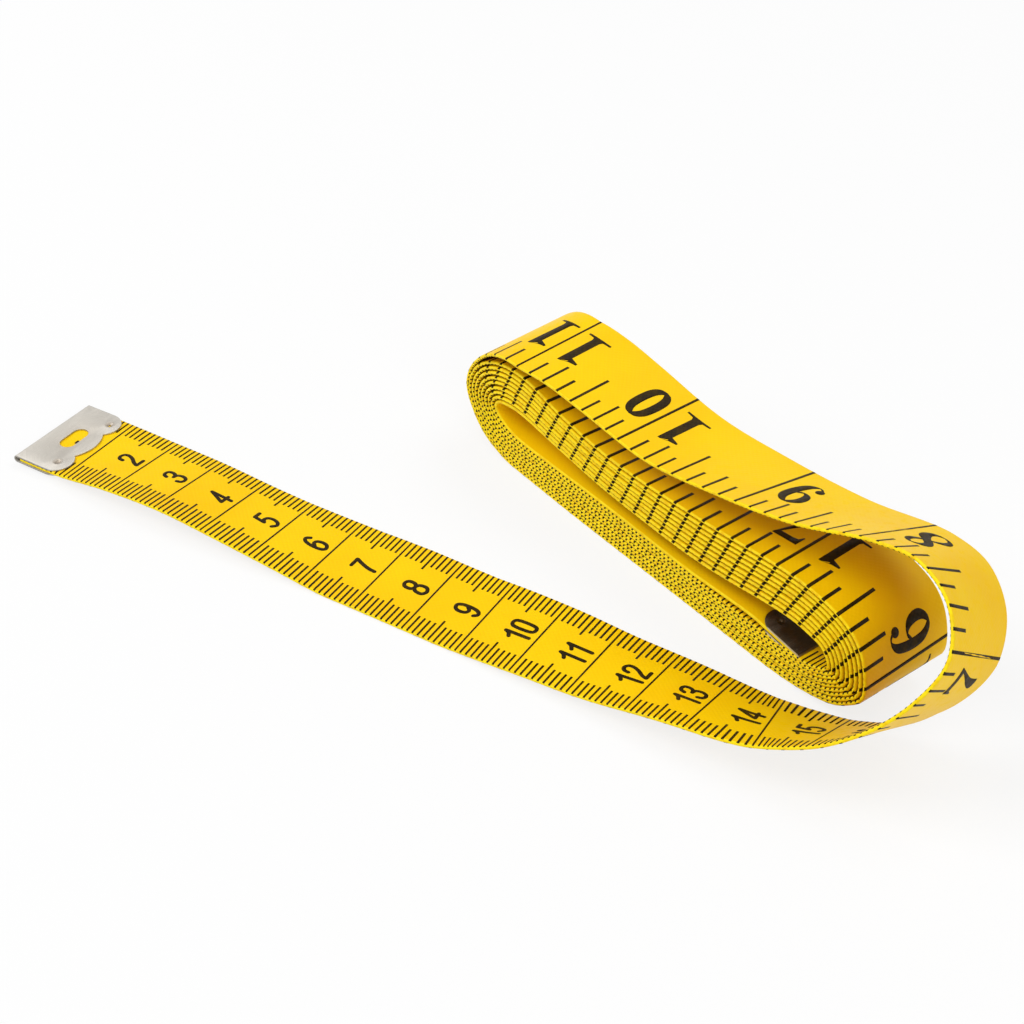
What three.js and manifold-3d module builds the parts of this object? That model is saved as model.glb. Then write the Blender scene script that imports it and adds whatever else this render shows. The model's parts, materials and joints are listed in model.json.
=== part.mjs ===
// A dressmaker's tape measure: a flexible printed strip with a folded metal tip on each end. It lies
// as it was put down, rolled flat, with the outer turn lifted into a free loop past the roll's right
// end and the zero end drawn out along the table in front of the roll.
//
// Millimetres. The origin is under the middle of the roll, on the table: +X runs along the roll
// towards the free loop, +Y along the roll's winding axis towards its far side, and +Z is up.

import * as THREE from 'three';
import { mergeVertices } from 'three/addons/utils/BufferGeometryUtils.js';
import Module from 'manifold-3d';

const wasm = await Module();
wasm.setup();

// The strip
const tapeWidth = 19;
const tapeThickness = 0.35;
const tapeEndGap = 0.3;             // between one length of the strip and the next

// The roll
const layerGap = 0.46;              // clear air between two turns
const fullTurns = 9;                // whole turns before the last, part turn
const openingHalfLength = 41;       // of the slot left in the middle of the roll
const openingHeight = 5;
const leadLift = 4;                 // the outer turn's rise off the roll where it comes free
const leadShift = 1.2;              // and its drift towards the near side
const endLift = 1.1;                // rise of the inner end, which makes room for its metal tip

// The free loop past the roll's end, and the tail
const loopOverhang = 13;            // past the roll's right end
const loopRise = 10;                // above the roll
const tailLength = 137;             // from the foot of the loop to the zero edge
const tailSegments = 5;
const tailWave = 1.3;               // how far the tail's ripples stand off the table

// The metal tips, folded from thin plated sheet
const tipLength = 9.9;
const tipOverhang = 0.3;            // past the strip's edge on each side
const tipSheet = 0.3;
const tipGrip = 0.2;                // clearance between the sheet and the strip
const tipLobeRadius = 3.15;         // of the two rounded corners
const tipNotchOffset = 4.05;        // of the notches from the strip's middle
const tipNotchDepth = 1.4;
const tipSlotWidth = 3;
const tipSlotLength = 6.4;
const tipSlotPlace = 4.6;           // of the slot's middle from the folded edge
const tipDimpleRadius = 0.7;
const tipDimpleDepth = 0.12;
const tipDimplePlace = 6.9;
const tipDimpleOffset = 6.7;
const cutOverrun = 1;

const layerPitch = tapeThickness + layerGap;
const halfWidth = tapeWidth / 2;
const halfThickness = tapeThickness / 2;

const vinylYellow = new THREE.MeshStandardMaterial({ color: 0xf7c40a, roughness: 0.45, metalness: 0 });
const platedSteel = new THREE.MeshStandardMaterial({ color: 0xb9b5ab, roughness: 0.35, metalness: 0.9 });

// The strip is drawn through stations. A station has the middle of the strip's thickness and width,
// and a unit vector across it, from its near edge to its far edge.

const xAxis = new THREE.Vector3(1, 0, 0);
const yAxis = new THREE.Vector3(0, 1, 0);

function crossLine(yawDegrees, tiltDegrees) {
  const yaw = THREE.MathUtils.degToRad(yawDegrees);
  const tilt = THREE.MathUtils.degToRad(tiltDegrees);
  return new THREE.Vector3(-Math.sin(yaw) * Math.cos(tilt), Math.cos(yaw) * Math.cos(tilt), Math.sin(tilt));
}

function station(x, y, z, across = yAxis.clone()) {
  return { centre: new THREE.Vector3(x, y, z), across };
}

// The vector's part square to a direction, at unit length.
function squareTo(direction, vector) {
  return vector.clone().addScaledVector(direction, -vector.dot(direction)).normalize();
}

// Adds each station's direction along the strip, where it has none, and its surface normal, and turns
// the line across the strip square to the direction.
function withFrames(stations) {
  return stations.map((place, i) => {
    const before = stations[Math.max(i - 1, 0)].centre;
    const after = stations[Math.min(i + 1, stations.length - 1)].centre;
    const along = place.along ?? after.clone().sub(before).normalize();
    const across = squareTo(along, place.across);
    const normal = along.clone().cross(across);
    return { centre: place.centre, along, across, normal };
  });
}

// A closed solid of the strip's section, swept through the stations.
function stripGeometry(stations) {
  const corners = [[-1, -1], [1, -1], [1, 1], [-1, 1]];
  const positions = [];
  for (const { centre, across, normal } of withFrames(stations)) {
    for (const [side, face] of corners) {
      const point = centre.clone();
      point.addScaledVector(across, side * halfWidth);
      point.addScaledVector(normal, face * halfThickness);
      positions.push(point.x, point.y, point.z);
    }
  }
  const count = corners.length;
  const last = (stations.length - 1) * count;
  const index = [0, 1, 2, 0, 2, 3];
  for (let i = 0; i < last; i += count) {
    for (let j = 0; j < count; j += 1) {
      const a = i + j;
      const b = i + (j + 1) % count;
      index.push(a, a + count, b + count, a, b + count, b);
    }
  }
  index.push(last, last + 2, last + 1, last, last + 3, last + 2);
  const geometry = new THREE.BufferGeometry();
  geometry.setAttribute('position', new THREE.Float32BufferAttribute(positions, 3));
  geometry.setIndex(index);
  return outwardFacing(geometry);
}

// Turns a closed mesh right side out.
function outwardFacing(geometry) {
  const position = geometry.getAttribute('position');
  const index = geometry.getIndex();
  const [a, b, c] = [new THREE.Vector3(), new THREE.Vector3(), new THREE.Vector3()];
  let volume = 0;
  for (let i = 0; i < index.count; i += 3) {
    a.fromBufferAttribute(position, index.getX(i));
    b.fromBufferAttribute(position, index.getX(i + 1));
    c.fromBufferAttribute(position, index.getX(i + 2));
    volume += a.dot(b.cross(c));
  }
  if (volume < 0) {
    for (let i = 0; i < index.count; i += 3) {
      const second = index.getX(i + 1);
      index.setX(i + 1, index.getX(i + 2));
      index.setX(i + 2, second);
    }
  }
  geometry.computeVertexNormals();
  return geometry;
}

// The roll's section, seen from its near side, anticlockwise from the top left. Each row is a point
// of the slot in its middle, as shares of the slot's half length and height, then the direction in
// which the turns lie on it, in degrees, and how loosely, as a share of the tightest winding.
const rollShares = [
  [-0.805, 0.94, 92, 1.16],
  [-0.917, 0.9, 115, 1.18],
  [-0.97, 0.77, 148, 1.14],
  [-0.985, 0.54, 183, 1.13],
  [-0.95, 0.28, 220, 1.13],
  [-0.875, 0.07, 244, 1.06],
  [-0.756, 0, 270, 1],
  [-0.268, 0, 270, 1],
  [0.268, 0, 270, 1],
  [0.707, 0, 270, 1],
  [0.854, 0.05, 300, 1.15],
  [0.93, 0.2, 325, 1.23],
  [0.965, 0.42, 353, 1.27],
  [0.95, 0.66, 27, 1.2],
  [0.885, 0.78, 55, 1.2],
  [0.72, 0.72, 81, 1.2],
  [0.268, 0.31, 87, 1.22],
  [-0.22, 0.39, 91, 1.03],
  [-0.537, 0.67, 94, 1.03],
];
const stepsPerRow = 2;
const leadFreeShare = 0.11;         // of a turn, over which the outer turn comes off the roll
const endRowsShare = 0.46;          // of the last turn's rows, before the straight inner end
const endRampShare = 0.2;           // of a turn, over which the inner end rises
const leadTiltDegrees = 5;          // far edge high, where the outer turn comes free

const restRow = 6;                  // the rows between which the roll lies flat on the table
const restEndRow = 9;

const rowCount = rollShares.length;
const turns = fullTurns + endRowsShare;
const buildUp = turns * layerPitch;
const slotFloor = halfThickness + buildUp - layerPitch * restRow / rowCount;

function rollCurves() {
  const inner = [];
  const outer = [];
  for (const [lengthShare, heightShare, degrees, slack] of rollShares) {
    const angle = THREE.MathUtils.degToRad(degrees);
    const point = new THREE.Vector3(
      lengthShare * openingHalfLength, 0, slotFloor + heightShare * openingHeight);
    const away = new THREE.Vector3(Math.cos(angle), 0, Math.sin(angle));
    inner.push(point);
    outer.push(point.clone().addScaledVector(away, buildUp * slack));
  }
  return {
    inner: new THREE.CatmullRomCurve3(inner, true, 'catmullrom', 0.5),
    outer: new THREE.CatmullRomCurve3(outer, true, 'catmullrom', 0.5),
  };
}

// The middle of the strip in the roll, after the given number of turns from its outer end.
const { inner: slotCurve, outer: rollCurve } = rollCurves();

function rollPoint(turn) {
  const place = rollCurve.getPoint(turn % 1).lerp(slotCurve.getPoint(turn % 1), turn / turns);
  const row = turn * rowCount;
  const settling = THREE.MathUtils.smoothstep(row, restRow - 1, restRow);
  const rising = THREE.MathUtils.smoothstep(row, restEndRow, restEndRow + 2);
  place.z = THREE.MathUtils.lerp(place.z, halfThickness, settling * (1 - rising));
  place.z = Math.max(place.z, halfThickness);
  return place;
}

function windingStations() {
  const steps = Math.round(turns * rowCount * stepsPerRow);
  const stations = [];
  for (let i = 0; i <= steps; i += 1) {
    const turn = turns * i / steps;
    const place = rollPoint(turn);
    const free = 1 - THREE.MathUtils.smoothstep(turn, 0, leadFreeShare);
    const ending = THREE.MathUtils.smoothstep(turn, turns - endRampShare, turns);
    place.z += free * leadLift + ending * endLift;
    place.y -= free * leadShift;
    stations.push(station(place.x, place.y, place.z, crossLine(0, free * leadTiltDegrees)));
  }
  const end = stations[stations.length - 1].centre;
  stations.push(station(end.x + tipLength, end.y, end.z));
  return stations;
}

const winding = windingStations();
const rollEnd = Math.max(...winding.map((place) => place.centre.x));
const rollTop = Math.max(...winding.filter((place, i) => i > rowCount).map((place) => place.centre.z));
const leadStart = winding[0].centre;

// The free run, from where the outer turn leaves the roll to the foot of the loop. Each row is the
// place along X as a share of the way from the roll's free turn to the loop's far end, the drift to
// the far side as a share of the strip's width, the height, and the yaw and tilt of the line across
// the strip, in degrees. Over the roll the height is a share of the loop's rise above it, and past
// the crest a share of the crest's own height.
const leadShares = [
  [0.078, -0.07, 0.52, 0.5, 3.6],
  [0.161, -0.06, 0.43, 0.6, 2.3],
  [0.326, -0.04, 0.17, 1, -0.4],
  [0.492, -0.025, 0.27, 0.6, -6.5],
  [0.657, 0, 0.55, -0.5, -12.7],
  [0.817, 0.047, 0.97, -2.5, -19.7],
];
const loopShares = [
  [0.9, 0.032, 1, -2.8, -26.2],
  [0.97, -0.084, 0.89, 0.9, -31.7],
  [1.004, -0.284, 0.692, 5.6, -33.5],
  [0.991, -0.516, 0.482, 7.4, -33.3],
  [0.95, -0.737, 0.304, 11.1, -31],
  [0.887, -0.926, 0.181, 15.8, -24.5],
  [0.814, -1.089, 0.11, 18, -18.3],
];
const footXShare = 0.752;
const footDriftShare = -1.24;

// The tail's ripples: the length from the foot as a share of the tail's, the height of its lower edge
// as a share of the ripples', and the tilt across the strip in degrees.
const tailYawDegrees = 19.3;
const tailShares = [
  [0, 0.04, -14.5],
  [0.087, 0.15, -9.5],
  [0.174, 0.08, -4.5],
  [0.246, 0.38, -1.5],
  [0.319, 0.27, 0],
  [0.377, 0, 0],
  [0.522, 0, 0],
  [0.594, 0, -3],
  [0.681, 0.2, -5.5],
  [0.768, 0.7, -6],
  [0.855, 0.75, -4],
  [0.928, 0.8, 0],
  [1, 0.72, 0],
];

// The first station is one of the roll's own, which only steers the run as it comes off the roll.
function freeStations() {
  const loopEnd = rollEnd + loopOverhang;
  const loopTop = rollTop + loopRise;
  const alongX = (share) => leadStart.x + share * (loopEnd - leadStart.x);
  const stations = [winding[stepsPerRow], winding[0]];
  for (const [xShare, driftShare, riseShare, yaw, tilt] of leadShares) {
    const height = rollTop + riseShare * loopRise;
    stations.push(station(alongX(xShare), driftShare * tapeWidth, height, crossLine(yaw, tilt)));
  }
  for (const [xShare, driftShare, heightShare, yaw, tilt] of loopShares) {
    const height = heightShare * loopTop;
    stations.push(station(alongX(xShare), driftShare * tapeWidth, height, crossLine(yaw, tilt)));
  }
  const heading = crossLine(tailYawDegrees + 90, 0);
  const foot = new THREE.Vector3(alongX(footXShare), footDriftShare * tapeWidth, 0);
  for (const [lengthShare, riseShare, tilt] of tailShares) {
    const place = foot.clone().addScaledVector(heading, lengthShare * tailLength);
    const lean = THREE.MathUtils.degToRad(Math.abs(tilt));
    const rise = riseShare * tailWave + halfWidth * Math.sin(lean) + halfThickness * Math.cos(lean);
    stations.push(station(place.x, place.y, rise, crossLine(tailYawDegrees, tilt)));
  }
  return stations;
}

// A smooth run through the stations after the first, measured along the strip. Where it would dip
// into the table, it lies on it.
function smoothRun(stations) {
  const centres = new THREE.CatmullRomCurve3(stations.map((place) => place.centre), false, 'centripetal');
  const acrosses = new THREE.CatmullRomCurve3(stations.map((place) => place.across), false, 'catmullrom', 0.5);
  const count = (stations.length - 1) * samplesPerStation;
  const samples = [];
  let length = 0;
  for (let i = samplesPerStation; i <= count; i += 1) {
    const centre = centres.getPoint(i / count);
    const along = centres.getTangent(i / count);
    const across = squareTo(along, acrosses.getPoint(i / count));
    const reach = halfWidth * Math.abs(across.z) + halfThickness * Math.hypot(across.x, across.y);
    centre.z = Math.max(centre.z, reach);
    if (samples.length > 0) {
      length += centre.distanceTo(samples[samples.length - 1].centre);
    }
    samples.push({ centre, along, across, length });
  }
  return samples;
}

const samplesPerStation = 24;
const freeRun = smoothRun(freeStations());
const freeLength = freeRun[freeRun.length - 1].length;

// The station at a length from the zero edge, and evenly spaced ones between two lengths.
function stationAt(fromZero) {
  const wanted = freeLength - fromZero;
  const next = Math.max(1, freeRun.findIndex((sample) => sample.length >= wanted));
  const [a, b] = [freeRun[next - 1], freeRun[next]];
  const share = (wanted - a.length) / (b.length - a.length);
  const along = a.along.clone().lerp(b.along, share).normalize();
  const across = a.across.clone().lerp(b.across, share);
  return { centre: a.centre.clone().lerp(b.centre, share), along, across };
}

function stationsBetween(from, to, step) {
  const count = Math.max(2, Math.round(Math.abs(to - from) / step));
  return Array.from({ length: count + 1 }, (unused, i) => stationAt(from + (to - from) * i / count));
}

// The folded tip, laid out with its folded edge at X = 0 and the strip coming in from +X.
const tipHalfWidth = halfWidth + tipOverhang;
const tipMouth = halfThickness + tipGrip;
const tipFoldRadius = tipMouth + tipSheet;
const tipLap = tipSheet;            // of the fold's arc over the two flat sheets
const arcSteps = 8;

function tipOutline() {
  const lobeX = tipLength - tipLobeRadius;
  const lobeY = tipHalfWidth - tipLobeRadius;
  const notchX = tipLength - tipNotchDepth;
  const notchAngle = Math.atan2(tipNotchOffset - lobeY, notchX - lobeX);
  const middleRadius = (tipNotchOffset ** 2 + tipNotchDepth ** 2) / (2 * tipNotchDepth);
  const middleAngle = Math.asin(tipNotchOffset / middleRadius);
  const outline = new THREE.Shape();
  outline.moveTo(tipFoldRadius, -tipHalfWidth);
  outline.lineTo(lobeX, -tipHalfWidth);
  outline.absarc(lobeX, -lobeY, tipLobeRadius, -Math.PI / 2, -notchAngle, false);
  outline.absarc(tipLength - middleRadius, 0, middleRadius, -middleAngle, middleAngle, false);
  outline.absarc(lobeX, lobeY, tipLobeRadius, notchAngle, Math.PI / 2, false);
  outline.lineTo(tipFoldRadius, tipHalfWidth);
  return outline;
}

function tipSlot() {
  const reach = (tipSlotLength - tipSlotWidth) / 2;
  const slot = new THREE.Path();
  slot.absarc(tipSlotPlace, reach, tipSlotWidth / 2, 0, Math.PI, false);
  slot.absarc(tipSlotPlace, -reach, tipSlotWidth / 2, Math.PI, 2 * Math.PI, false);
  return slot;
}

function solidFrom(geometry) {
  const bare = geometry.clone();
  bare.deleteAttribute('normal');
  bare.deleteAttribute('uv');
  const merged = mergeVertices(bare);
  const mesh = new wasm.Mesh({
    numProp: 3,
    vertProperties: new Float32Array(merged.getAttribute('position').array),
    triVerts: new Uint32Array(merged.getIndex().array),
  });
  return new wasm.Manifold(mesh);
}

function geometryFrom(solid) {
  const { vertProperties, triVerts } = solid.getMesh();
  const geometry = new THREE.BufferGeometry();
  geometry.setAttribute('position', new THREE.Float32BufferAttribute(vertProperties, 3));
  geometry.setIndex(new THREE.Uint32BufferAttribute(triVerts, 1));
  geometry.computeVertexNormals();
  return geometry;
}

function tipGeometry() {
  const outline = tipOutline();
  outline.holes.push(tipSlot());
  const sheet = { depth: tipSheet, bevelEnabled: false, curveSegments: arcSteps };
  const topSheet = new THREE.ExtrudeGeometry(outline, sheet).translate(0, 0, tipMouth);
  const bottomSheet = new THREE.ExtrudeGeometry(outline, sheet).translate(0, 0, -tipFoldRadius);

  const bend = new THREE.Shape();
  bend.absarc(0, 0, tipFoldRadius, Math.PI / 2, Math.PI * 1.5, false);
  bend.lineTo(tipLap, -tipFoldRadius);
  bend.lineTo(tipLap, -tipMouth);
  bend.lineTo(0, -tipMouth);
  bend.absarc(0, 0, tipMouth, Math.PI * 1.5, Math.PI / 2, true);
  bend.lineTo(tipLap, tipMouth);
  bend.lineTo(tipLap, tipFoldRadius);
  const fold = new THREE.ExtrudeGeometry(bend, { ...sheet, depth: 2 * tipHalfWidth });
  fold.rotateX(Math.PI / 2).translate(tipFoldRadius, tipHalfWidth, 0);

  let tip = solidFrom(topSheet).add(solidFrom(bottomSheet)).add(solidFrom(fold));
  const dimple = new THREE.CylinderGeometry(tipDimpleRadius, tipDimpleRadius, cutOverrun, 2 * arcSteps);
  dimple.rotateX(Math.PI / 2);
  const dimpleZ = tipFoldRadius - tipDimpleDepth + cutOverrun / 2;
  for (const side of [-1, 1]) {
    for (const face of [-1, 1]) {
      const cutter = dimple.clone().translate(tipDimplePlace, side * tipDimpleOffset, face * dimpleZ);
      tip = tip.subtract(solidFrom(cutter));
    }
  }
  return geometryFrom(tip);
}

// Places a tip on the end of a strip: inward runs from the folded edge along the strip.
function tipMesh(name, foldedEdge, inward, across) {
  const mesh = new THREE.Mesh(tipGeometry(), platedSteel);
  const square = squareTo(inward, across);
  const axes = new THREE.Matrix4().makeBasis(inward, square, inward.clone().cross(square));
  mesh.name = name;
  mesh.quaternion.setFromRotationMatrix(axes);
  mesh.position.copy(foldedEdge);
  return mesh;
}

function stripMesh(name, stations) {
  const mesh = new THREE.Mesh(stripGeometry(stations), vinylYellow);
  mesh.name = name;
  return mesh;
}

// The least clear gap between any two turns, measured at both edges of the strip, from each station
// to the nearest place on every other turn.
function leastTurnGap(stations) {
  const framed = withFrames(stations);
  const apart = rowCount;
  const span = new THREE.Line3();
  const nearest = new THREE.Vector3();
  let least = Infinity;
  for (const side of [-1, 1]) {
    const edge = framed.map(({ centre, across }) => centre.clone().addScaledVector(across, side * halfWidth));
    for (let i = 0; i < edge.length; i += 1) {
      for (let j = 0; j < edge.length - 1; j += 1) {
        if (Math.abs(i - j) >= apart) {
          span.set(edge[j], edge[j + 1]).closestPointToPoint(edge[i], true, nearest);
          least = Math.min(least, nearest.distanceTo(edge[i]));
        }
      }
    }
  }
  return least - tapeThickness;
}

const tapeMeasure = new THREE.Group();

// The winding's inner end stops inside its tip, clear of the fold.
const innerEnd = winding[winding.length - 1];
const innerEdge = innerEnd.centre.clone();
innerEnd.centre.x -= tipFoldRadius;
tapeMeasure.add(stripMesh('tape_winding', winding));
tapeMeasure.add(tipMesh('end_tip', innerEdge, xAxis.clone().negate(), yAxis));

const loopStep = 2.6;
const leadStep = 5;
const tailStep = 4;
const loopShare = 0.48;             // of the free run above the table that is the loop
const loopTopLength = tailLength + loopShare * (freeLength - tailLength);
const halfGap = tapeEndGap / 2;
const leadStations = stationsBetween(freeLength - tapeEndGap, loopTopLength + halfGap, leadStep);
const loopStations = stationsBetween(loopTopLength - halfGap, tailLength + halfGap, loopStep);
tapeMeasure.add(stripMesh('tape_lead', leadStations));
tapeMeasure.add(stripMesh('tape_loop', loopStations));

const segmentLength = tailLength / tailSegments;
for (let i = 0; i < tailSegments; i += 1) {
  const from = tailLength - i * segmentLength;
  const to = i === tailSegments - 1 ? tipFoldRadius : from - segmentLength + halfGap;
  tapeMeasure.add(stripMesh(`tape_tail_${i + 1}`, stationsBetween(from - halfGap, to, tailStep)));
}
const zeroEdge = stationAt(0);
const tipInward = stationAt(tipLength).centre.sub(zeroEdge.centre).normalize();
tapeMeasure.add(tipMesh('start_tip', zeroEdge.centre, tipInward, zeroEdge.across));

function rounded(vector) {
  return vector.toArray().map((value) => value.toFixed(3)).join(' ');
}

const windingLength = winding.reduce(
  (sum, place, i) => sum + (i ? place.centre.distanceTo(winding[i - 1].centre) : 0), 0);
console.log(`least gap between turns ${leastTurnGap(winding).toFixed(3)} mm`);
console.log(`strip in the roll ${windingLength.toFixed(0)} mm, free ${freeLength.toFixed(0)} mm`);
for (let i = 0; i < tailSegments; i += 1) {
  const [hinge] = withFrames([stationAt(tailLength - i * segmentLength)]);
  console.log(`bend ${i + 1} at ${rounded(hinge.centre)} across ${rounded(hinge.across)}`);
}

export default tapeMeasure;
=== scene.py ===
import bisect
import json
import math

import bpy
import numpy as np
from mathutils import Matrix, Vector
from mathutils.geometry import delaunay_2d_cdt


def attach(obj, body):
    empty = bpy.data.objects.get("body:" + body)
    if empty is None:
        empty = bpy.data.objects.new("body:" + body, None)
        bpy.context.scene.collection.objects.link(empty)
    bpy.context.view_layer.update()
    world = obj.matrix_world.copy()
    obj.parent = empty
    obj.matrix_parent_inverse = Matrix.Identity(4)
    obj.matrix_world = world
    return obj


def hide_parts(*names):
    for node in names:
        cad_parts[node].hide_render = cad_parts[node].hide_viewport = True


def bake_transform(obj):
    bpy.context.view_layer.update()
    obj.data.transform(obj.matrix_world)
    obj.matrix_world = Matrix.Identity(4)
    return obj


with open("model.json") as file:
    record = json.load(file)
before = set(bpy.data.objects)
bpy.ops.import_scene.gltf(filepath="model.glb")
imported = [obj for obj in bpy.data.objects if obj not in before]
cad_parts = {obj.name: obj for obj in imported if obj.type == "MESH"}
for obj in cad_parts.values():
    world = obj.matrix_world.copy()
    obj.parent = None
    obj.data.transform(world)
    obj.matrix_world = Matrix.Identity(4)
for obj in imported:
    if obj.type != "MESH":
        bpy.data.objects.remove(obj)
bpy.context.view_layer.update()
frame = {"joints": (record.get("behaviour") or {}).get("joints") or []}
mm = 0.001  # the shapes below are laid out in millimetres


# The camera: the photograph's viewpoint.
camera = dict(
    place=(183.827, -205.605, 214.762),
    right=(0.641155, 0.765898, 0.048159),
    ahead=(-0.590800, 0.532679, -0.605977),
    up=(-0.489770, 0.360073, 0.794023),
    lens=72.125,
    sensor=36.0,
    nearest=0.01,  # metres
    farthest=10,
)


def makeCamera():
    data = bpy.data.cameras.new("camera")
    data.lens = camera["lens"]
    data.sensor_width = camera["sensor"]
    data.clip_start, data.clip_end = camera["nearest"], camera["farthest"]
    view = bpy.data.objects.new("camera", data)
    bpy.context.scene.collection.objects.link(view)
    columns = zip(camera["right"], camera["up"], [-x for x in camera["ahead"]], camera["place"])
    rows = [[a, b, c, d * mm] for a, b, c, d in columns]
    view.matrix_world = Matrix(rows + [[0, 0, 0, 1]])
    bpy.context.scene.camera = view


makeCamera()
print("camera made")


# The tape's own section, and how evenly it lies in the roll
tape = dict(
    width=19.0,
    thickness=0.62,
    cornerRadius=0.27,
    cornerSteps=3,
    supportInset=0.25,  # from the corner to the row of points that keeps the faces flat
    faceRows=(-7.5, -4.5, -1.5, 1.5, 4.5, 7.5),
    sharpFrom=50,  # degrees
    cadThickness=0.35,
    layerGap=0.46,
    edgeWander=0.1,  # how far the turns' edges stray from flush
    layerWander=0.045,  # and how far a turn strays from its even place
    waves=[(7, 0.25), (13, 0.35), (29, 0.4), (61, 0.5)],  # length and share of the waves that they stray in
    edgeSeed=11,
    layerSeed=5,
    bendsUpTo=151.5,  # the printed length up to which the strip is cut into the tail's parts
    tailStep=0.5,  # between cross sections up to there
    rollStep=1.0,  # and beyond
)
flatHalf = tape["width"] / 2 - tape["cornerRadius"]  # from the strip's middle to where its corners start

# The metal tips, which fold over the strip's two ends
tip = dict(
    length=10.1,
    halfWidth=9.56,
    sheet=0.3,
    gap=0.03,  # between the strip and the sheet
    clothInset=0.6,  # of the strip's end inside the fold
    lobeRadius=3.15,
    lobeSteps=12,
    notchOffset=4.05,
    notchDepth=1.4,
    notchSteps=14,
    sideShares=(0.66, 0.33),
    skew=0.015,  # how much further the near lobe reaches
    aside=0.2,
    askew=0.45,  # how much further along the far end of the first tip's fold lies
    endStretch=0.92,  # the tip inside the roll is this share as long
    slotWidth=3.0,
    slotLength=6.2,
    slotPlace=5.15,
    slotSteps=24,
    slotMargin=0.02,
    slotDarkening=0.25,
    dimples=[(7.9, 6.7, True), (7.6, -6.9, False)],  # the far one is pierced
    dimpleRadius=1.0,
    dimpleSteps=20,
    # rings of a clinch, each a share of its radius, a height and how much darker it is
    dimpleRings=[(1.0, 0.0, 0.15), (0.86, 0.08, 0.45), (0.68, 0.05, 0.75), (0.52, -0.12, 1), (0.34, -0.22, 1)],
    dimpleMiddle=(-0.25, 1),
    holeShare=0.97,
    foldSteps=8,
    foldColumns=16,
    joinWithin=0.000001,
    weldWithin=0.002,
    bevel=0.05,
    bevelSteps=2,
    bevelFrom=60,  # degrees
    sharpFrom=40,
)


def smoothStep(x, low, high):
    t = np.clip((np.asarray(x, float) - low) / (high - low), 0, 1)
    return t * t * (3 - 2 * t)


def unit(rows):
    rows = np.asarray(rows, float)
    return rows / np.linalg.norm(rows, axis=-1, keepdims=True)


def crossLine(yaw, tilt):
    # the way across the strip where it lies turned and tilted by so many degrees
    yaw, tilt = math.radians(yaw), math.radians(tilt)
    return np.array([-math.sin(yaw) * math.cos(tilt), math.cos(yaw) * math.cos(tilt), math.sin(tilt)])


def catmullRom(points, shares, closed=False, centripetal=False):
    # a smooth curve through the points, at shares of its run
    points = np.asarray(points, float)
    count = len(points)
    spans = count if closed else count - 1
    found = []
    for share in shares:
        place = (share % 1 if closed else min(max(share, 0), 1)) * spans
        i = min(int(place), spans - 1)
        u = place - i
        b, c = points[i % count], points[(i + 1) % count]
        a = points[(i - 1) % count] if closed or i > 0 else 2 * b - c
        d = points[(i + 2) % count] if closed or i + 2 < count else 2 * c - b
        if centripetal:
            t0, t1, t2 = (max(np.linalg.norm(q - p), 1e-4) ** 0.5 for p, q in ((a, b), (b, c), (c, d)))
            startSlope = ((b - a) / t0 - (c - a) / (t0 + t1) + (c - b) / t1) * t1
            endSlope = ((c - b) / t1 - (d - b) / (t1 + t2) + (d - c) / t2) * t1
        else:
            startSlope, endSlope = (c - a) / 2, (d - b) / 2
        found.append(
            b + startSlope * u
            + (3 * (c - b) - 2 * startSlope - endSlope) * u * u
            + (2 * (b - c) + startSlope + endSlope) * u ** 3
        )
    return np.array(found)


def wander(x, size, seed):
    random = np.random.default_rng(seed)
    waves = sum(
        np.sin(x / length + random.uniform(0, 2 * math.pi)) * share for length, share in tape["waves"]
    )
    return waves * size


# The roll and the free run follow the CAD strip's values.
roll = dict(
    fullTurns=9,
    openingHalfLength=41.0,
    openingHeight=5.0,
    leadLift=2.7,
    leadShift=1.2,
    yawShare=-0.011,  # how the roll is turned on the table
    leanShare=-0.015,  # and how much more its lowest turns are
    leanHeight=18.0,
    raiseBelow=16.0,  # turns below this are raised for the real strip's thickness
    wanderFrom=(0.02, 0.2),  # turns over which the strip starts to stray
    endLift=0.9,
    endSlope=-0.15,
    leadFreeShare=0.11,
    endRowsShare=0.46,
    endRampShare=0.05,
    leadTilt=5.0,
    restRows=(5, 6),  # rows between which the outermost turn comes down onto the table
    riseRows=(8, 10),  # and between which it leaves it
    turnSteps=260,
    endSteps=9,
    # each row is a point of the opening, as shares of its size, and the way and share of the turns' build-up
    rows=[
        [-0.805, 0.94, 92, 1.16], [-0.917, 0.9, 115, 1.18], [-0.97, 0.77, 148, 1.14],
        [-0.985, 0.54, 183, 1.13], [-0.95, 0.25, 220, 1.07], [-0.875, -0.02, 244, 1.0],
        [-0.756, -0.12, 270, 0.92], [-0.268, -0.1, 270, 0.94], [0.268, -0.22, 270, 0.86], [0.707, -0.3, 270, 0.81],
        [0.862, -0.31, 322, 0.98], [0.935, -0.2, 345, 1.14], [0.985, 0.02, 2, 1.15],
        [0.955, 0.46, 33, 1.23], [0.885, 0.64, 57, 1.27], [0.72, 0.7, 81, 1.21],
        [0.268, 0.31, 87, 1.22], [-0.22, 0.39, 91, 1.03], [-0.537, 0.67, 94, 1.03],
    ],
)


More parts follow.
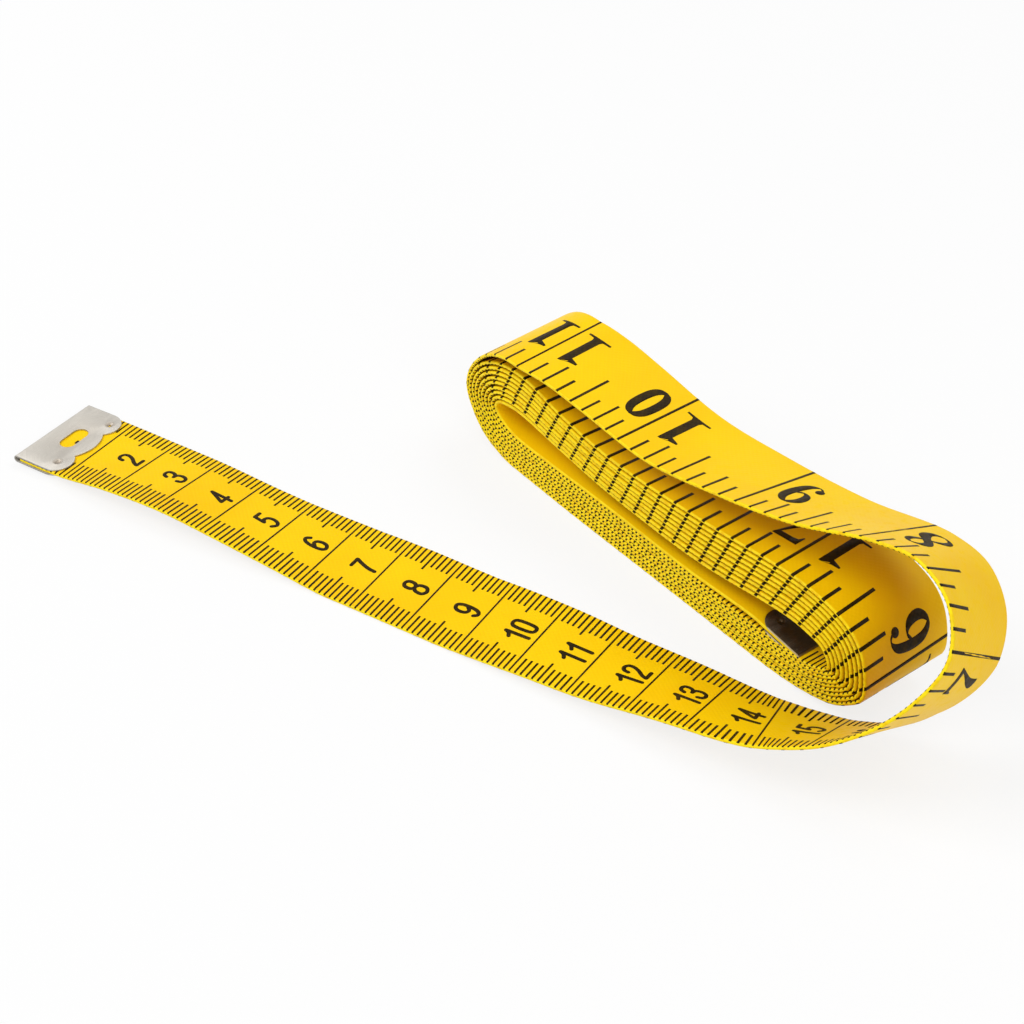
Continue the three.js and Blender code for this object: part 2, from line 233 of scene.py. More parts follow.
def rollPath():
    rows = roll["rows"]
    half = tape["cadThickness"] / 2
    pitch = tape["cadThickness"] + tape["layerGap"]
    turns = roll["fullTurns"] + roll["endRowsShare"]
    buildUp = turns * pitch
    floor = half + buildUp - pitch * roll["restRows"][1] / len(rows)
    inner, outer = [], []
    for lengthShare, heightShare, degrees, slack in rows:
        angle = math.radians(degrees)
        point = np.array([lengthShare * roll["openingHalfLength"], 0, floor + heightShare * roll["openingHeight"]])
        inner.append(point)
        outer.append(point + np.array([math.cos(angle), 0, math.sin(angle)]) * buildUp * slack)
    turn = np.linspace(0, turns, int(turns * roll["turnSteps"]))
    a, b = catmullRom(outer, turn, closed=True), catmullRom(inner, turn, closed=True)
    centre = a + (b - a) * (turn / turns)[:, None]
    row = turn * len(rows)
    settled = smoothStep(row, *roll["restRows"]) * (1 - smoothStep(row, *roll["riseRows"]))
    centre[:, 2] += (half - centre[:, 2]) * settled
    centre[:, 2] = np.maximum(centre[:, 2], half)
    rollTop = centre[turn > 1][:, 2].max()
    free = 1 - smoothStep(turn, 0, roll["leadFreeShare"])
    ending = smoothStep(turn, turns - roll["endRampShare"], turns)
    centre[:, 2] += free * roll["leadLift"] + ending * roll["endLift"]
    centre[:, 1] -= free * roll["leadShift"]
    lean = np.clip(1 - centre[:, 2] / roll["leanHeight"], 0, 1) * roll["leanShare"]
    centre[:, 1] += centre[:, 0] * (roll["yawShare"] + lean) * (1 - free)
    across = np.array([crossLine(0, f * roll["leadTilt"]) for f in free])
    # the strip's end runs on straight
    count = roll["endSteps"]
    straight = np.arange(1, count + 1) / count * tip["length"]
    end = centre[-1] + straight[:, None] * unit([1, 0, roll["endSlope"]])
    centre = np.vstack([centre, end])
    across = np.vstack([across, np.repeat(across[-1:], count, 0)])
    turn = np.concatenate([turn, np.full(count, turns)])
    return centre, across, turn, rollTop


freeRun = dict(
    loopOverhang=13.0,
    loopRise=10.0,
    tailLength=137.0,
    tailWave=1.3,
    spanSteps=24,
    # along, aside, up, yaw and tilt over the roll, then round the loop
    lead=[
        [0.078, -0.07, 0.4, 0.5, 3.6], [0.161, -0.06, 0.31, 0.6, 2.3],
        [0.326, -0.04, 0.11, 1, -0.4], [0.492, -0.025, 0.27, 0.6, -6.5],
        [0.657, 0, 0.55, -0.5, -12.7], [0.817, 0.047, 0.97, -2.5, -19.7],
    ],
    loop=[
        [0.9, 0.032, 1, -2.8, -26.2], [0.97, -0.084, 0.89, 0.9, -31.7],
        [1.004, -0.284, 0.692, 5.6, -33.5], [0.991, -0.516, 0.482, 7.4, -33.3],
        [0.95, -0.737, 0.304, 11.1, -31], [0.887, -0.926, 0.181, 15.8, -24.5],
        [0.814, -1.089, 0.11, 18, -18.3],
    ],
    footX=0.752,
    footDrift=-1.24,
    tailYaw=19.3,
    tail=[  # along, up and tilt
        [0, 0.04, -14.5], [0.087, 0.15, -9.5], [0.174, 0.08, -4.5], [0.246, 0.38, -1.5],
        [0.319, 0.27, 0], [0.377, 0, 0], [0.522, 0, 0], [0.594, 0, -3], [0.681, 0.2, -5.5],
        [0.768, 0.7, -6], [0.855, 0.75, -4], [0.928, 0.8, 0], [1, 0.72, 0],
    ],
    settle=[  # length, then how far the strip lies aside, along, up and turned from the rows above
        [0, -0.3, 0.35, 0, 0], [14, -0.35, 0, 0, 0], [50, -0.35, 0, 0, 0], [75, -0.1, 0, 0.1, 2],
        [95, 0, 0, 0.1, 1.5], [115, 0, 0, 0.1, 0], [130, 0, 0, 0.12, -1], [140, 0, 0, 0.1, -0.9],
        [150, 0, -0.1, 0.1, -0.8], [157, 0, -0.25, 0.2, 0.5], [164, 0, -0.25, 0.3, 2.5], [176, 0, 0.5, 0.3, 1],
        [190, 0, 0.1, 0.1, 0], [203, 0, 0, 0.1, 0], [216, 0, 0, 0.2, 0], [236, 0, 0, 0.5, 0.2],
        [254, 0, 0, 0.55, 0.8], [267, 0, 0, 0.5, -0.45], [279, 0, 0, 0.45, -1.6], [292, 0, 0, 0.3, -2],
        [310, 0, 0, 0.1, -1], [335, 0, 0, 0, 0],
    ],
)


def freePath(start, steer, startAcross, steerAcross, rollEnd, rollTop):
    # the lead, the loop and the tail; steer is a point of the roll beyond the start
    f = freeRun
    loopEnd, loopTop = rollEnd + f["loopOverhang"], rollTop + f["loopRise"]

    def alongX(share):
        return start[0] + share * (loopEnd - start[0])

    centres, acrosses = [steer, start], [steerAcross, startAcross]
    rows = [(row, rollTop + row[2] * f["loopRise"]) for row in f["lead"]]
    rows += [(row, row[2] * loopTop) for row in f["loop"]]
    for (x, drift, _, yaw, tilt), height in rows:
        centres.append([alongX(x), drift * tape["width"], height])
        acrosses.append(crossLine(yaw, tilt))
    heading = crossLine(f["tailYaw"] + 90, 0)
    foot = np.array([alongX(f["footX"]), f["footDrift"] * tape["width"], 0])
    for length, rise, tilt in f["tail"]:
        lean = math.radians(abs(tilt))
        place = foot + heading * length * f["tailLength"]
        place[2] = rise * f["tailWave"] + tape["width"] / 2 * math.sin(lean)
        place[2] += tape["thickness"] / 2 * math.cos(lean)
        centres.append(place)
        acrosses.append(crossLine(f["tailYaw"], tilt))
    count = (len(centres) - 1) * f["spanSteps"]
    shares = np.arange(f["spanSteps"], count + 1) / count
    return catmullRom(centres, shares, centripetal=True), catmullRom(acrosses, shares)


def tapePath():
    rollCentre, rollAcross, turn, rollTop = rollPath()
    steer = round(roll["turnSteps"] / len(roll["rows"]))
    freeCentre, freeAcross = freePath(
        rollCentre[0], rollCentre[steer], rollAcross[0], rollAcross[steer], rollCentre[:, 0].max(), rollTop
    )
    centre = np.vstack([freeCentre[:0:-1], rollCentre])
    across = np.vstack([freeAcross[:0:-1], rollAcross])
    turn = np.concatenate([np.full(len(freeCentre) - 1, -1.0), turn])
    length = np.concatenate([[0], np.cumsum(np.linalg.norm(np.diff(centre, axis=0), axis=1))])
    return centre, across, turn, length


def settleFreeRun(centre, across, length):
    # small shifts of the free run: aside, along +X, up, and turned about its own line
    known, *rows = zip(*freeRun["settle"])
    aside, along, up, turned = (np.interp(length, known, row) for row in rows)
    centre += across * aside[:, None]
    centre[:, 0] += along
    centre[:, 2] += up
    heading = unit(np.gradient(centre, axis=0))
    lean = np.radians(turned)[:, None]
    return across * np.cos(lean) + np.cross(heading, across) * np.sin(lean)


def reachDown(across):
    # how far below its middle the strip reaches
    return tape["width"] / 2 * np.abs(across[:, 2]) + tape["thickness"] / 2 * np.hypot(across[:, 0], across[:, 1])


def lieOnTable(centre, across):
    # the real strip is thicker than its solid, so the lowest turns sit a little higher
    thicker = tape["thickness"] / 2 - tape["cadThickness"] / 2
    centre[:, 2] += thicker * np.clip(1 - centre[:, 2] / roll["raiseBelow"], 0, 1) * (centre[:, 2] > 0)
    centre[:, 2] = np.maximum(centre[:, 2], reachDown(across))


# The printed scale: zero at the folded edge of the first tip. The first pairs set the place along
# the strip against the printed length, then the turns of the roll follow.
scale = dict(
    anchors=[
        (0, -1.2), (11.2, 10), (21.3, 20), (40.6, 40), (100.6, 100), (121, 120), (140.6, 140),
        (177, 177.8), (202.1, 203.2), (226.4, 228.6), (240.1, 241.3),
        (252.8, 254), (264.4, 266.7), (271, 273), (277.7, 279.4), (280.5, 282.6), (283.7, 285.8),
    ],
    # places along X with the second turn's printed length there, and how far the ticks of each turn
    # lie behind the turn outside it
    secondTurn=[(0, 459.1, -0.28), (38, 422.3, -0.45), (-28, 486.7, -0.33)],
    eighthInch=3.175,
    lastCentimetre=200,
    lastInch=79,
    # the second turn lies skewed at the right end: how far its far edge is ahead, against the mark
    skew=[(375, 0), (395, 1.7), (412, 1.9), (432, 1.0), (462, 0)],
)


def printedScale(centre, turn, length):
    pairs = list(scale["anchors"])
    # how far along the strip each turn passes over the middle of the roll, on top
    passes = []
    for i in range(len(centre) - 1):
        if turn[i] >= 0 and centre[i, 0] > 0 >= centre[i + 1, 0]:
            share = centre[i, 0] / (centre[i, 0] - centre[i + 1, 0])
            passes.append(length[i] + (length[i + 1] - length[i]) * share)
    eighth = scale["eighthInch"]
    middle, slide = scale["secondTurn"][0][1:]
    for k, place in enumerate(passes):
        even = place - pairs[-1][0] + pairs[-1][1]
        phase = (middle + slide * k) % eighth
        near = even + (phase - even % eighth + eighth / 2) % eighth - eighth / 2 if k else middle
        pairs += [(place - x, near + mark - middle + k * (s - slide)) for x, mark, s in scale["secondTurn"]]
        pairs.sort()
    pairs.append((length[-1], length[-1] - pairs[-1][0] + pairs[-1][1]))
    known, printed = zip(*pairs)
    return np.interp(length, known, printed)


def strip():
    centre, across, turn, length = tapePath()
    across = settleFreeRun(centre, across, length)
    lieOnTable(centre, across)
    printed = printedScale(centre, turn, length)
    # the roll's cross sections lie halfway between the millimetre ticks, the tail's at the ticks too
    first, last, rolled = printed[0], printed[-1], tape["bendsUpTo"]
    tail = np.arange(math.ceil(first) + tape["tailStep"], rolled, tape["tailStep"])
    marks = np.concatenate([[first], tail, np.arange(rolled, last, tape["rollStep"]), [last]])
    place = np.stack([np.interp(marks, printed, centre[:, k]) for k in range(3)], 1)
    cross = np.stack([np.interp(marks, printed, across[:, k]) for k in range(3)], 1)
    inRoll = smoothStep(np.interp(marks, printed, turn), *roll["wanderFrom"])
    along = unit(np.gradient(place, axis=0))
    cross = unit(cross - along * np.sum(cross * along, 1, keepdims=True))
    normal = np.cross(along, cross)
    place += normal * (wander(marks, tape["layerWander"], tape["layerSeed"]) * inRoll)[:, None]
    place[:, 1] += wander(marks, tape["edgeWander"], tape["edgeSeed"]) * inRoll
    place[:, 2] = np.maximum(place[:, 2], reachDown(cross))
    return dict(mark=marks, place=place, cross=cross, normal=normal, length=length[-1])


run = strip()
print("strip laid: %.0f mm" % run["length"])


def sectionPoint(reach, side):
    # a place on the section and the way out of it there: reach is measured over the surface from
    # the middle, side 1 the centimetre face and -1 the inch face
    half, radius = tape["thickness"] / 2, tape["cornerRadius"]
    sign = 1 if reach >= 0 else -1
    beyond = abs(reach) - flatHalf
    if beyond <= 0:
        return reach, side * half, 0, side
    angle = beyond / radius
    if angle <= math.pi / 2:
        out, up = math.sin(angle), math.cos(angle)
        return sign * (flatHalf + radius * out), side * (half - radius + radius * up), sign * out, side * up
    drop = beyond - radius * math.pi / 2
    return sign * (flatHalf + radius), side * (half - radius - drop), sign, 0


def stationAt(mark):
    # the cross section before a mark, and the share of the way to the next one
    marks = run["mark"]
    i = min(max(bisect.bisect_right(marks, mark) - 1, 0), len(marks) - 2)
    return i, (mark - marks[i]) / (marks[i + 1] - marks[i])


def surfacePlace(mark, reach, side, lift):
    i, t = stationAt(mark)
    across, up, outAcross, outUp = sectionPoint(reach, side)
    across, up = across + outAcross * lift, up + outUp * lift
    first, second = (run["place"][k] + run["cross"][k] * across + run["normal"][k] * up for k in (i, i + 1))
    return first + (second - first) * t


# Where the strip is cut for the hinges of the tail, as printed lengths, and the bodies of each part.
cuts = [tape["bendsUpTo"], 124.5, 97.5, 69.5, 42.5]
parts = [("roll",)] + [("roll" if i == 1 else f"tail_{i - 1}", f"tail_{i}") for i in range(1, 6)]


def partOf(mark):
    # parts are counted from the roll outwards, as the cuts are
    return sum(mark <= cut for cut in cuts)


def placeOnBodies(piece, part):
    bodies = parts[part]
    if len(bodies) == 1:
        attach(piece, bodies[0])
        return
    hinge = next(j for j in frame["joints"] if j["name"] == f"tail_bend_{part}")
    place, axis = np.array(hinge["pos_m"]), np.array(hinge["axis"])
    towardsRoll = np.array([axis[1], -axis[0], 0.0])
    towardsRoll /= np.linalg.norm(towardsRoll)
    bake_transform(piece)


def makeMesh(name, points, faces, material):
    mesh = bpy.data.meshes.new(name)
    mesh.from_pydata((np.asarray(points) * mm).tolist(), [], faces)
    mesh.materials.append(material)
    mesh.validate()
    mesh.update()
    piece = bpy.data.objects.new(name, mesh)
    bpy.context.scene.collection.objects.link(piece)
    return piece


def notePlaces(piece, name, places):
    # each point's place on the strip or the plate, for the materials
    note = piece.data.attributes.new(name, "FLOAT_VECTOR", "POINT")
    note.data.foreach_set("vector", np.array(places, np.float32).ravel())


def smoothShade(piece, degrees):
    piece.data.polygons.foreach_set("use_smooth", [True] * len(piece.data.polygons))
    piece.data.set_sharp_from_angle(angle=math.radians(degrees))


def cornerReaches():
    arc = tape["cornerRadius"] * math.pi / 2
    return [flatHalf + arc * k / tape["cornerSteps"] for k in range(tape["cornerSteps"] + 1)]


def section():
    # the ring of a cross section, as (reach, side)
    reaches = [flatHalf - tape["supportInset"]] + cornerReaches()
    ring = []
    for side, sign in ((1, 1), (-1, 1), (-1, -1), (1, -1)):
        row = [(sign * r, side) for r in reaches]
        ring += row if side * sign > 0 else row[::-1]
        if side * sign < 0:
            ring += [(r * side, side) for r in tape["faceRows"]]
    return ring


def tapeMesh(name, low, high, material):
    ring = section()
    marks = run["mark"]
    chosen = [i for i, m in enumerate(marks) if low <= m <= high]
    points, places = [], []
    shape = [sectionPoint(reach, side) for reach, side in ring]
    corner = cornerReaches()[1]
    for i in chosen:
        for (reach, _), (across, up, *_) in zip(ring, shape):
            points.append(run["place"][i] + run["cross"][i] * across + run["normal"][i] * up)
            places.append((marks[i] * mm, across * mm, float(abs(reach) >= corner)))
    count = len(ring)
    faces = []
    for row in range(len(chosen) - 1):
        for j in range(count):
            a, b = row * count + j, row * count + (j + 1) % count
            faces.append((a, a + count, b + count, b))
    faces.append(tuple(range(count)))
    faces.append(tuple(range(len(points) - 1, len(points) - 1 - count, -1)))
    piece = makeMesh(name, points, faces, material)
    notePlaces(piece, "stripPlace", places)
    smoothShade(piece, tape["sharpFrom"])
    return piece


tinyArea = 1e-7  # polygons below this are left out


def ringArea(corners):
    # twice the area, positive when the corners run anticlockwise
    return sum(a[0] * b[1] - a[1] * b[0] for a, b in zip(corners, [*corners[1:], corners[0]]))


# The figures. A stroke is a line of points (across, up, swell), drawn with an oval nib.
def strokeOutline(points, nib, closed=False):
    line = np.array([(p[0], p[1], p[2] if len(p) > 2 else 1) for p in points], float)
    if len(line) == 2:
        line = np.vstack([line[0] + (line[1] - line[0]) * t for t in (0, 0.5, 1)])
    else:
        spans = len(line) if closed else len(line) - 1
        line = catmullRom(line, np.linspace(0, 1, spans * figureLook["strokeSteps"] + 1), closed)
        if closed:
            line[-1] = line[0]
    heading = np.gradient(line[:, :2], axis=0)
    if closed:
        heading[0] = heading[-1] = line[1, :2] - line[-2, :2]
    heading = unit(heading)
    wide, tall = nib
    left = np.stack([-heading[:, 1], heading[:, 0]], 1)
    reach = np.stack([wide ** 2 * left[:, 0], tall ** 2 * left[:, 1]], 1)
    reach /= np.hypot(wide * left[:, 0], tall * left[:, 1])[:, None]
    reach *= line[:, 2:3]
    return line, line[:, :2] + reach, line[:, :2] - reach


def strokeFaces(points, nib, closed=False):
    line, left, right = strokeOutline(points, nib, closed)
    faces = []
    for i in range(len(line) - 1):
        faces.append([left[i], right[i], right[i + 1]])
        faces.append([left[i], right[i + 1], left[i + 1]])
    if not closed:
        steps = figureLook["discSteps"]
        faces += [disc(x, y, nib[0] * swell, nib[1] * swell, steps) for x, y, swell in (line[0], line[-1])]
    return faces


def disc(x, y, wide, tall, steps):
    angles = [2 * math.pi * k / steps for k in range(steps)]
    return [(x + wide * math.cos(a), y + tall * math.sin(a)) for a in angles]


def drawn(shapes):
    # the tables are in hundredths of the figure's height; a third number is a stroke's swell
    return [[(p[0] / 100, p[1] / 100, *p[2:]) for p in shape] for shape in shapes]


figureLook = dict(
    plainNib=(0.077, 0.07),
    boldNib=(0.098, 0.03),
    hairNib=(0.024, 0.024),
    plainWidth=0.5,  # of a figure one unit high
    boldWidth=0.6,
    plainClosed="08",  # figures whose strokes join up
    strokeSteps=5,
    discSteps=14,
    joinWithin=0.00001,
)
# The centimetre figures: even strokes
plainFigures = {
    "0": [[(25, 94), (10, 85), (6.5, 50), (10, 15), (25, 6), (40, 15), (43.5, 50), (40, 85)]],
    "1": [[(30, 6), (30, 94)], [(30, 93), (23, 80), (8, 71)]],
    "2": [
        [(7, 70), (11, 87), (26, 94), (41, 86), (43, 68), (33, 46), (16, 26), (7, 8)],
        [(7, 6), (44, 6)],
    ],
    "3": [
        [(7, 75), (13, 89), (26, 94), (39, 88), (42, 73), (36, 58), (21, 53)],
        [(21, 53), (37, 48), (44, 30), (39, 12), (25, 6), (11, 12), (6, 27)],
    ],
    "4": [[(34, 6), (34, 94)], [(34, 93), (5, 30)], [(5, 29), (46, 29)]],
    "5": [
        [(41, 94), (13, 94)], [(13, 93), (9, 52)],
        [(9, 51), (23, 61), (39, 53), (44, 33), (37, 13), (22, 6), (6, 17)],
    ],
    "6": [[
        (41, 82), (30, 94), (15, 86), (7.5, 60), (8, 28), (16, 9), (28, 6), (41, 15), (44, 33), (38, 51),
        (25, 56), (11, 44),
    ]],
    "7": [[(6, 94), (44, 94)], [(44, 92), (30, 62), (20, 32), (17, 6)]],
    "8": [
        [(25, 94), (10, 85), (10, 62), (25, 53), (40, 62), (40, 85)],
        [(25, 53), (9, 43), (7, 17), (25, 6), (43, 17), (41, 43)],
    ],
}
plainFigures = {figure: drawn(lines) for figure, lines in plainFigures.items()}
width = figureLook["plainWidth"]
plainFigures["9"] = [[(width - x, 1 - y) for x, y in line] for line in plainFigures["6"]]

# The inch figures: heavy strokes, hairlines, stems and serifs as plates, and round ends (across, up, radius)
boldFigures = {
    "0": dict(closed=[[
        (30, 97), (14.5, 82), (10.5, 50), (14.5, 18), (30, 3), (45.5, 18), (49.5, 50), (45.5, 82),
    ]]),
    "1": dict(plates=[
        [(20, 2), (39, 2), (39, 100), (34, 100), (20, 90)],
        [(0, 0), (58, 0), (58, 4.5), (42, 6), (39, 12), (20, 12), (17, 6), (0, 4.5)],
        [(0, 86), (20, 80), (20, 93), (34, 100), (16, 93), (0, 90.5)],
    ]),
    "2": dict(
        open=[[
            (14, 72, 0.3), (14, 87, 0.35), (30, 97, 0.8), (45, 86, 1), (47, 70, 1), (36, 50, 0.6),
            (20, 30, 0.3), (7, 10, 0.2),
        ]],
        balls=[(15, 72, 9.5)],
        plates=[[(4, 0), (53, 0), (57, 24), (54, 24), (50, 15), (40, 14), (20, 19), (8, 12)]],
    ),
    "3": dict(
        open=[
            [(13, 76, 0.3), (15, 89, 0.35), (29, 97, 0.8), (43, 86, 1), (43, 67, 1), (34, 55, 0.6), (20, 53, 0.3)],
            [(20, 53, 0.3), (38, 48, 0.6), (47, 34, 1), (46, 16, 1), (29, 3, 0.8), (13, 10, 0.35), (11, 24, 0.3)],
        ],
        balls=[(15, 76, 8.5), (14, 23, 9.5)],
    ),
    "4": dict(
        plates=[
            [(31, 2), (49, 2), (49, 100), (45, 100), (31, 80)],
            [(19, 0), (60, 0), (60, 4.5), (50, 6), (30, 6), (19, 4.5)],
            [(0, 25), (60, 25), (60, 30), (0, 30)],
        ],
        hair=[[(46, 98), (3, 29)]],
    ),
    "5": dict(
        plates=[[(9, 97), (13, 82), (25, 80), (44, 83), (54, 98), (50, 98), (40, 95), (20, 95)]],
        hair=[[(11, 95), (11, 50)], [(11, 50), (18, 57), (28, 60)]],
        open=[[
            (26, 60, 0.3), (40, 55, 0.7), (47.5, 36, 1), (44, 14, 1), (28, 3, 0.8), (13, 10, 0.35), (11, 22, 0.3),
        ]],
        balls=[(14, 22, 9.5)],
    ),
    "6": dict(
        open=[[
            (46, 86, 0.25), (40, 95, 0.35), (29, 96.5, 0.6), (17, 83, 0.9), (10.5, 50, 1), (13, 20, 0.95),
            (30, 3, 0.8), (46, 14, 0.95), (49.5, 32, 0.95), (44, 50, 0.8), (31, 57.5, 0.6), (19, 49, 0.3),
        ]],
        balls=[(45, 83, 9)],
    ),
    "7": dict(
        plates=[[(2, 74), (5, 74), (9, 84), (20, 86), (50, 86), (57, 96), (57, 100), (6, 100), (2, 100)]],
        open=[[(54, 95, 0.25), (42, 66, 0.45), (32, 42, 0.75), (27, 20, 1.1), (27, 10, 1.15)]],
    ),
    "8": dict(closed=[[
        (29, 97, 0.6), (14, 88, 0.8), (13, 72, 0.9), (26, 56, 1.25), (42, 42, 1.3), (49, 24, 0.95), (43, 9, 0.7),
        (28, 3, 0.6), (12, 10, 0.6), (9, 27, 0.65), (20, 45, 0.5), (37, 59, 0.5), (45, 76, 0.65), (42, 90, 0.6),
    ]]),
}
for shapes in boldFigures.values():
    for kind, items in shapes.items():
        shapes[kind] = [[v / 100 for v in ball] for ball in items] if kind == "balls" else drawn(items)


def turned(shapes):
    # a figure turned upside down, as a 9 is a turned 6
    width = figureLook["boldWidth"]
    made = {
        kind: [[(width - p[0], 1 - p[1], *p[2:]) for p in item] for item in items]
        for kind, items in shapes.items() if kind != "balls"
    }
    made["balls"] = [(width - x, 1 - y, r) for x, y, r in shapes["balls"]]
    return made


boldFigures["9"] = turned(boldFigures["6"])


def figureFaces(figure, bold):
    if not bold:
        nib, closed = figureLook["plainNib"], figure in figureLook["plainClosed"]
        return [face for line in plainFigures[figure] for face in strokeFaces(line, nib, closed)]
    shapes = boldFigures[figure]
    faces = []
    for kind, nib in (("closed", "boldNib"), ("open", "boldNib"), ("hair", "hairNib")):
        for line in shapes.get(kind, []):
            faces += strokeFaces(line, figureLook[nib], kind == "closed")
    faces += shapes.get("plates", [])
    return faces + [disc(x, y, r, r, figureLook["discSteps"]) for x, y, r in shapes.get("balls", [])]


def flattened(faces):
    # joins overlapping faces into one flat layer of triangles
    points, rings = [], []
    for face in faces:
        area = ringArea(face)
        if abs(area) < tinyArea:
            continue
        start = len(points)
        ordered = face if area > 0 else list(face)[::-1]
        points += [Vector((float(x), float(y))) for x, y in ordered]
        rings.append(list(range(start, len(points))))
    made, _, triangles, _, _, fromFaces = delaunay_2d_cdt(points, [], rings, 1, figureLook["joinWithin"])
    kept = [t for t, origin in zip(triangles, fromFaces) if origin]
    return [(p.x, p.y) for p in made], kept


figureShapes = {}


def figureShape(figure, bold):
    if (figure, bold) not in figureShapes:
        figureShapes[figure, bold] = flattened(figureFaces(figure, bold))
    return figureShapes[figure, bold]


def clipped(corners, mark, keep):
    # the part of a polygon on one side of a line across the strip
    made = []
    for a, b in zip(corners, [*corners[1:], corners[0]]):
        insideA, insideB = keep * (a[0] - mark) >= 0, keep * (b[0] - mark) >= 0
        if insideA:
            made.append(a)
        if insideA != insideB:
            t = (mark - a[0]) / (b[0] - a[0])
            made.append((mark, a[1] + t * (b[1] - a[1])))
    return made


def skewed(mark, reach):
    known, ahead = zip(*scale["skew"])
    return mark + float(np.interp(mark, known, ahead)) * (reach / tape["width"] + 0.5)


# The print is a thin film on the strip: flat polygons of (mark, reach) on either side, cut at each
# cross section of the strip so that they follow it, and sorted by the strip's parts.
class Ink:
    def __init__(self, lift):
        self.lift = lift
        self.points = [[] for _ in parts]
        self.faces = [[] for _ in parts]

    def add(self, corners, side):
        area = ringArea(corners)
        if abs(area) < tinyArea:
            return
        if area * side < 0:
            corners = corners[::-1]
        part = partOf(sum(c[0] for c in corners) / len(corners))
        start = len(self.points[part])
        self.points[part] += [(m, r, side, self.lift) for m, r in corners]
        self.faces[part].append(list(range(start, start + len(corners))))

    def addPolygon(self, corners, side):
        if side < 0 and scale["skew"][0][0] < corners[0][0] < scale["skew"][-1][0]:
            corners = [(skewed(m, r), r) for m, r in corners]
        low, high = min(c[0] for c in corners), max(c[0] for c in corners)
        marks = run["mark"]
        for i in range(max(bisect.bisect_right(marks, low) - 1, 0), len(marks) - 1):
            if marks[i] >= high:
                break
            piece = clipped(clipped(corners, marks[i], 1), marks[i + 1], -1)
            if len(piece) > 2:
                self.add(piece, side)

    def addTick(self, mark, width, near, far, side):
        # a bar across the strip between two reaches, with rows where the section bends
        bends = [sign * b for b in cornerReaches() for sign in (1, -1)]
        rows = sorted({near, far, *(b for b in bends if near < b < far)})
        low, high = mark - width / 2, mark + width / 2
        for a, b in zip(rows, rows[1:]):
            self.addPolygon([(low, a), (high, a), (high, b), (low, b)], side)

    def addFigure(self, figure, bold, toStrip, side):
        points, triangles = figureShape(figure, bold)
        for triangle in triangles:
            self.addPolygon([toStrip(*points[i]) for i in triangle], side)


printLook = dict(
    lift=0.014,
    depth=0.03,
    millimetreWidth=0.36,
    lineWidth=0.32,
    millimetreReach=4.0,
    fiveReach=5.2,
    aside=0.35,  # how far the centimetre print is off the strip's middle, to the far side
    asideLater=-0.35,  # and beyond the first decimetre
    asideFrom=(35, 125),  # marks between which it changes over
    figureHeight=4.8,
    figureGap=0.95,
    figureAdvance=2.5,
    hiddenFrom=46,  # centimetre figures between these lie between turns of the roll
    hiddenTo=176,
    slotTick=dict(mark=5.2, width=0.85, near=-0.7, far=0.3),  # shows through the tip's slot
    inchWidth=0.52,
    rollInchWidth=0.62,
    rollInchFrom=330,
    eighthReach=4.15,
    quarterReach=5.8,
    halfReach=8.8,
    inchFigureHeight=9.1,
    inchFigureUpTo=19,
    inchBaseline=15.2,
    singleCentre=-4.5,
    firstCentre=-4.0,
    secondCentre=4.15,
    tailWrap=58,  # degrees of the strip's corner that the ink covers on the tail
    rollWrap=70,
    inchWrap=80,
    wrapFrom=(270, 290),
    joinDigits=4,
)


def wrapReach(mark, most):
    # how far the ink runs over the strip's corner
    share = float(smoothStep(mark, *printLook["wrapFrom"]))
    degrees = printLook["tailWrap"] + (most - printLook["tailWrap"]) * share
    return flatHalf + tape["cornerRadius"] * math.radians(degrees)


def asideAt(mark):
    share = float(smoothStep(mark, *printLook["asideFrom"]))
    return printLook["aside"] + (printLook["asideLater"] - printLook["aside"]) * share


def printTicks(ink):
    look = printLook
    half, width = tape["width"] / 2, look["millimetreWidth"]
    for k in range(1, scale["lastCentimetre"] * 10 + 1):
        wrap = wrapReach(k, look["rollWrap"])
        if k % 10 == 0:
            ink.addTick(k, look["lineWidth"], -wrap, wrap, 1)
            continue
        reach = half - (look["fiveReach"] if k % 5 == 0 else look["millimetreReach"])
        ink.addTick(k, width, -wrap, asideAt(k) - reach, 1)
        ink.addTick(k, width, reach + asideAt(k), wrap, 1)
    for k in range(1, scale["lastInch"] * 8 + 1):
        mark = k * scale["eighthInch"]
        wrap = wrapReach(mark, look["inchWrap"])
        width = look["rollInchWidth"] if mark > look["rollInchFrom"] else look["inchWidth"]
        kind = "halfReach" if k % 4 == 0 else "quarterReach" if k % 2 == 0 else "eighthReach"
        ink.addTick(mark, width, -wrap, wrap if k % 8 == 0 else look[kind] - half, -1)
    ink.addTick(side=1, **look["slotTick"])


def printFigures(ink):
    look = printLook
    size, advance = look["figureHeight"], look["figureAdvance"]
    for number in range(2, scale["lastCentimetre"] + 1):
        if look["hiddenFrom"] < number < look["hiddenTo"]:
            continue
        text = str(number)
        middle = asideAt(number * 10) - advance * (len(text) - 1) / 2
        for k, figure in enumerate(text):
            left = middle - figureLook["plainWidth"] / 2 * size + k * advance
            base = number * 10 - look["figureGap"]
            ink.addFigure(figure, False, lambda x, y: (base - y * size, left + x * size), 1)
    size = look["inchFigureHeight"]
    bottom = look["inchBaseline"] - tape["width"] / 2
    for number in [*range(1, look["inchFigureUpTo"] + 1), scale["lastInch"]]:
        text = str(number)
        centres = [look["singleCentre"]] if len(text) == 1 else [look["firstCentre"], look["secondCentre"]]
        for centre, figure in zip(centres, text):
            left = number * 8 * scale["eighthInch"] + centre - figureLook["boldWidth"] / 2 * size
            ink.addFigure(figure, True, lambda x, y: (left + x * size, bottom - y * size), -1)


